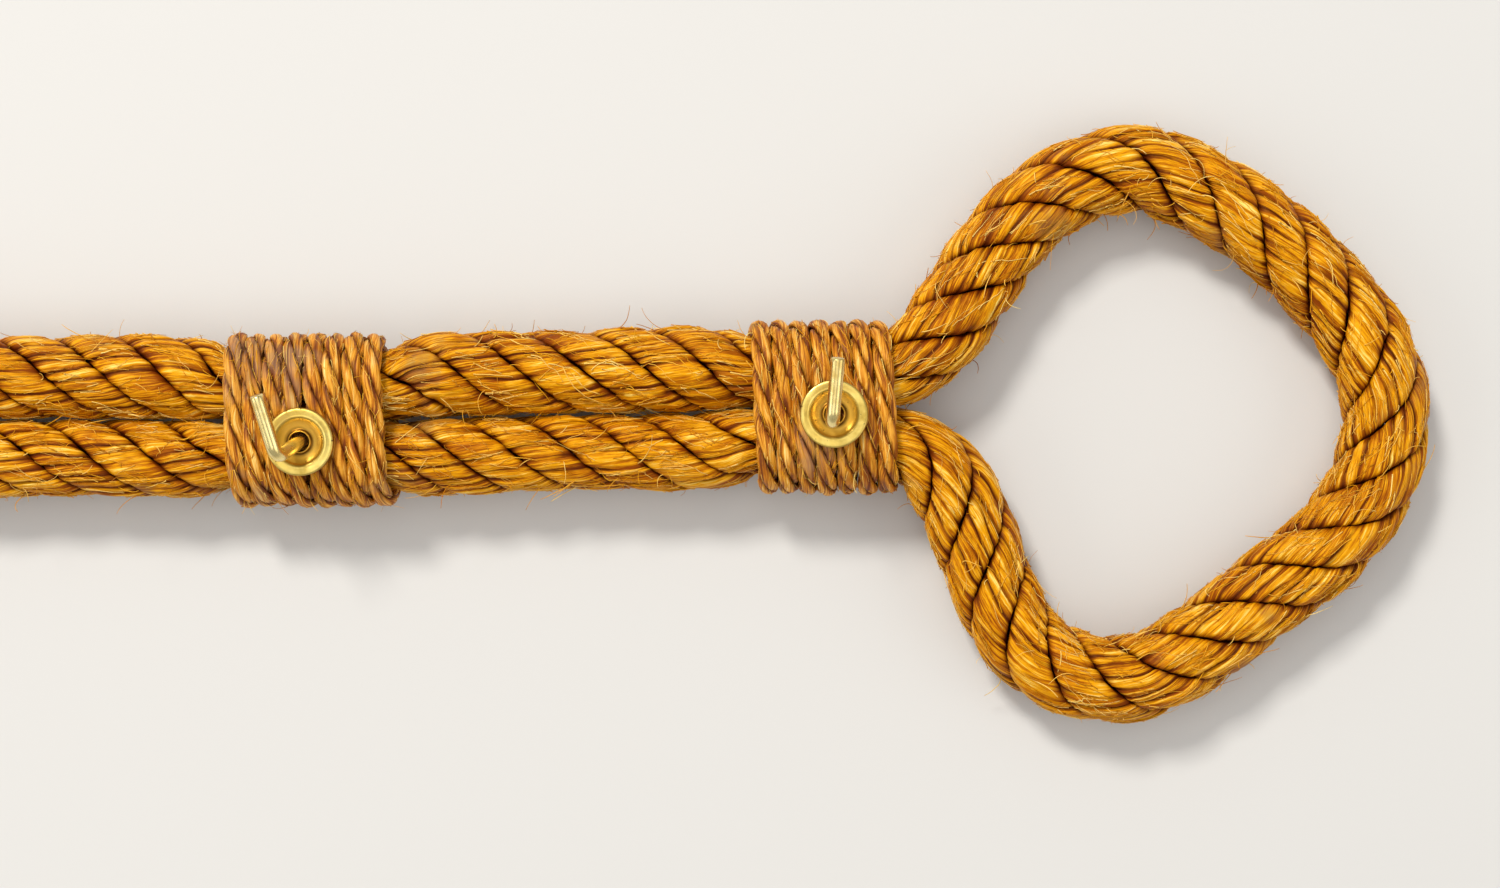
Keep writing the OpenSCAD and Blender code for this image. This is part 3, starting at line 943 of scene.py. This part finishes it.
def plant_fibre(name, shades, painted_shade, stain, stain_level, gloss, gloss_colour):
    """Twisted plant fibre: streaks along the yarns in four shades, painted shade in the hollows and a few
    stains.
    """
    dark, middle, light, pale = shades
    r = Recipe(name)
    grain = r.attribute("grain", "Vector")
    place = r.place()
    broad = r.noise(r.scaled(grain, (70, 1000, 1)), 1.0, 2.0, 0.5, 0.4)
    streak = r.noise(r.scaled(grain, (130, 2700, 1)), 1.0, 2.0, 0.6, 0.5)
    fine = r.noise(r.scaled(grain, (260, 6500, 1)), 1.0, 2.0, 0.5, 0.3)
    mottle = r.noise(place, 95.0, 3.0, 0.6)
    blotch = r.noise(place, 38.0, 4.0, 0.6, 0.4)
    tone = r.chance(r.split(grain)[2])
    # painted shade: the point value from lay_rope darkens the clefts, the strands' sunk sides and the cut
    # ends
    hollow = r.attribute("painted_shade")
    level = r.weighted([
        (r.span(broad, 0.34, 0.66), 0.30),
        (r.span(streak, 0.36, 0.66), 0.36),
        (r.span(fine, 0.36, 0.64), 0.14),
        (r.span(mottle, 0.30, 0.70), 0.20),
        (tone, 0.14),
        (hollow, -0.35),
    ])
    colour = r.mix(r.span(level, 0.24, 0.45), dark, middle)
    colour = r.mix(r.span(level, 0.45, 0.62), colour, light)
    colour = r.mix(r.span(level, 0.68, 0.92), colour, pale)
    colour = r.mix(r.span(blotch, stain_level, stain_level + 0.10, 0.0, 0.6), colour, stain)
    # painted shade colour laid over the hollows
    colour = r.mix(r.span(hollow, 0.25, 0.95), colour, painted_shade)
    r.feed(r.shader.inputs["Base Color"], colour)
    r.feed(r.shader.inputs["Roughness"], r.span(streak, 0.3, 0.7, 0.60, 0.36))
    r.shader.inputs["Specular IOR Level"].default_value = gloss
    r.shader.inputs["Specular Tint"].default_value = gloss_colour
    soft = r.bump(broad, 0.45 * MM, 0.9)
    ribs = r.bump(streak, 0.30 * MM, 1.0, soft)
    r.feed(r.shader.inputs["Normal"], r.bump(fine, 0.10 * MM, 0.8, ribs))
    return r.material


def loose_fibre(name):
    """Single stray fibres, from pale straw to brown, each in its own tone."""
    r = Recipe(name)
    tone = r.chance(r.split(r.attribute("grain", "Vector"))[2])
    colour = r.mix(r.span(tone, 0.0, 0.55), (0.42, 0.12, 0.001, 1), (0.85, 0.40, 0.01, 1))
    colour = r.mix(r.span(tone, 0.55, 1.0), colour, (1.0, 0.76, 0.24, 1))
    patch = r.noise(r.place(), 90.0, 2.0)
    colour = r.mix(r.span(patch, 0.45, 0.75, 0.0, 0.5), colour, (0.55, 0.22, 0.01, 1))
    r.feed(r.shader.inputs["Base Color"], colour)
    r.shader.inputs["Roughness"].default_value = 0.5
    r.shader.inputs["Specular IOR Level"].default_value = 0.2
    r.shader.inputs["Specular Tint"].default_value = (1.0, 0.75, 0.35, 1)
    return r.material


def drawn_brass(name, bright, dull):
    """Drawn brass wire: bright, with drawing streaks bumped along it and painted dark as reflections, light
    tarnish and a few nicks.
    """
    r = Recipe(name)
    streaks = r.noise(r.scaled(r.attribute("grain", "Vector"), (45, 2300, 1)), 1.0, 2.0, 0.5)
    place = r.place()
    cloud = r.noise(place, 260.0, 4.0, 0.6, 0.5)
    nicks = r.noise(place, 1100.0, 2.0, 0.5)
    colour = r.mix(r.span(cloud, 0.42, 0.70), bright, dull)
    # painted reflection: dark streaks along the wire stand in for the dark room that it mirrors; the same
    # noise also bumps it as drawing lines
    colour = r.mix(r.span(streaks, 0.56, 0.66, 0.0, 0.7), colour, (0.30, 0.19, 0.05, 1))
    colour = r.mix(r.span(nicks, 0.70, 0.76, 0.0, 0.6), colour, (0.18, 0.09, 0.02, 1))
    r.feed(r.shader.inputs["Base Color"], colour)
    r.shader.inputs["Metallic"].default_value = 1.0
    r.feed(r.shader.inputs["Roughness"], r.span(cloud, 0.3, 0.75, 0.20, 0.34))
    r.feed(r.shader.inputs["Normal"], r.bump(streaks, 0.05 * MM, 0.4))
    return r.material


def pressed_brass(name, bright, dull):
    """Pressed brass sheet: faint rings, an amber painted reflection of the orange rope in the dish, painted
    shade at the step and on the rim's edge, a painted shadow round the bright collar, tarnish and specks.
    """
    r = Recipe(name)
    grain = r.attribute("grain", "Vector")
    radius = r.split(grain)[0]
    rings = r.noise(r.scaled(grain, (5200, 1.5, 1)), 1.0, 3.0, 0.6)
    place = r.place()
    cloud = r.noise(place, 150.0, 4.0, 0.65, 0.8)
    film = r.noise(place, 420.0, 3.0, 0.6, 0.4)
    specks = r.noise(place, 900.0, 1.0, 0.5)
    colour = r.mix(r.span(cloud, 0.36, 0.66, 0.0, 0.85), bright, dull)
    colour = r.mix(r.span(film, 0.50, 0.75, 0.0, 0.5), colour, (0.42, 0.27, 0.04, 1))
    # painted reflection: the dish is coloured amber for the orange rope that it mirrors
    dish = r.span(radius, 5.35 * MM, 4.9 * MM, 0.0, 0.75)
    # painted shade: a dark ring in the step between the dish and the rim
    step = r.math("MULTIPLY", r.span(radius, 5.75 * MM, 5.5 * MM), r.span(radius, 5.0 * MM, 5.3 * MM))
    # painted shadow: a dark ring round the collar
    throat = r.math("MULTIPLY", r.span(radius, 3.6 * MM, 2.9 * MM), r.span(radius, 2.56 * MM, 2.62 * MM))
    # painted shade: darker olive colour on the rim's rolled edge
    rim = r.span(radius, 7.1 * MM, 7.5 * MM, 0.0, 0.55)
    colour = r.mix(dish, colour, (0.62, 0.31, 0.025, 1))
    colour = r.mix(r.math("MULTIPLY", step, 0.6), colour, (0.22, 0.12, 0.015, 1))
    colour = r.mix(r.math("MULTIPLY", throat, 0.85), colour, (0.10, 0.04, 0.006, 1))
    colour = r.mix(rim, colour, (0.40, 0.26, 0.05, 1))
    colour = r.mix(r.span(specks, 0.72, 0.76, 0.0, 0.9), colour, (0.06, 0.03, 0.01, 1))
    r.feed(r.shader.inputs["Base Color"], colour)
    r.shader.inputs["Metallic"].default_value = 1.0
    r.feed(r.shader.inputs["Roughness"], r.span(cloud, 0.3, 0.75, 0.26, 0.44))
    r.feed(r.shader.inputs["Normal"], r.bump(rings, 0.03 * MM, 0.4))
    return r.material


# colour of the painted shade in the hollows of the rope and the twine
PAINTED_SHADE_BROWN = (0.075, 0.008, 0, 1)

rope_fibre = plant_fibre(
    "rope_fibre",
    shades=((0.23, 0.042, 0, 1), (0.52, 0.165, 0, 1), (0.78, 0.34, 0.002, 1), (1, 0.74, 0.18, 1)),
    painted_shade=PAINTED_SHADE_BROWN, stain=(0.22, 0.11, 0.04, 1), stain_level=0.60,
    gloss=0.22, gloss_colour=(1, 0.72, 0.30, 1),
)
twine_fibre = plant_fibre(
    "twine_fibre",
    shades=((0.23, 0.045, 0, 1), (0.55, 0.175, 0, 1), (0.80, 0.36, 0.03, 1), (1, 0.74, 0.26, 1)),
    painted_shade=PAINTED_SHADE_BROWN, stain=(0.33, 0.20, 0.11, 1), stain_level=0.56,
    gloss=0.42, gloss_colour=(1, 0.84, 0.62, 1),
)
stray_fibre = loose_fibre("stray_fibre")
wire_brass = drawn_brass("wire_brass", bright=(0.90, 0.74, 0.33, 1), dull=(0.68, 0.48, 0.14, 1))
disc_brass = pressed_brass("disc_brass", bright=(0.88, 0.68, 0.20, 1), dull=(0.58, 0.38, 0.06, 1))

# ---------------------------------------------------------------- what each piece is and moves with


def finish_piece(piece, material, slot, body, *nodes):
    """Gives a piece its material and body, and takes the CAD nodes away that it stands for. slot is not used.
    """
    piece.data.materials.append(material)
    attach(piece, body)
    if nodes:
        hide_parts(*nodes)


finish_piece(
    rope, rope_fibre, "rope", "root",
    "rope_upper_leg", "rope_lower_leg", "rope_left_loop", "rope_right_loop",
)
for tuft in hairs:
    finish_piece(tuft, stray_fibre, "rope", "root")
for tuft in twine_hairs:
    finish_piece(tuft, stray_fibre, "twine", "root")
for n, (twine, *_), hook, disc in zip(NUMBERS, whippings, hooks, discs):
    finish_piece(twine, twine_fibre, "twine", "root", f"whipping_{n}")
    finish_piece(hook, wire_brass, "brass_wire", f"hook_body_{n}", f"hook_{n}")
    finish_piece(disc, disc_brass, "brass_disc", f"disc_body_{n}", f"disc_{n}")
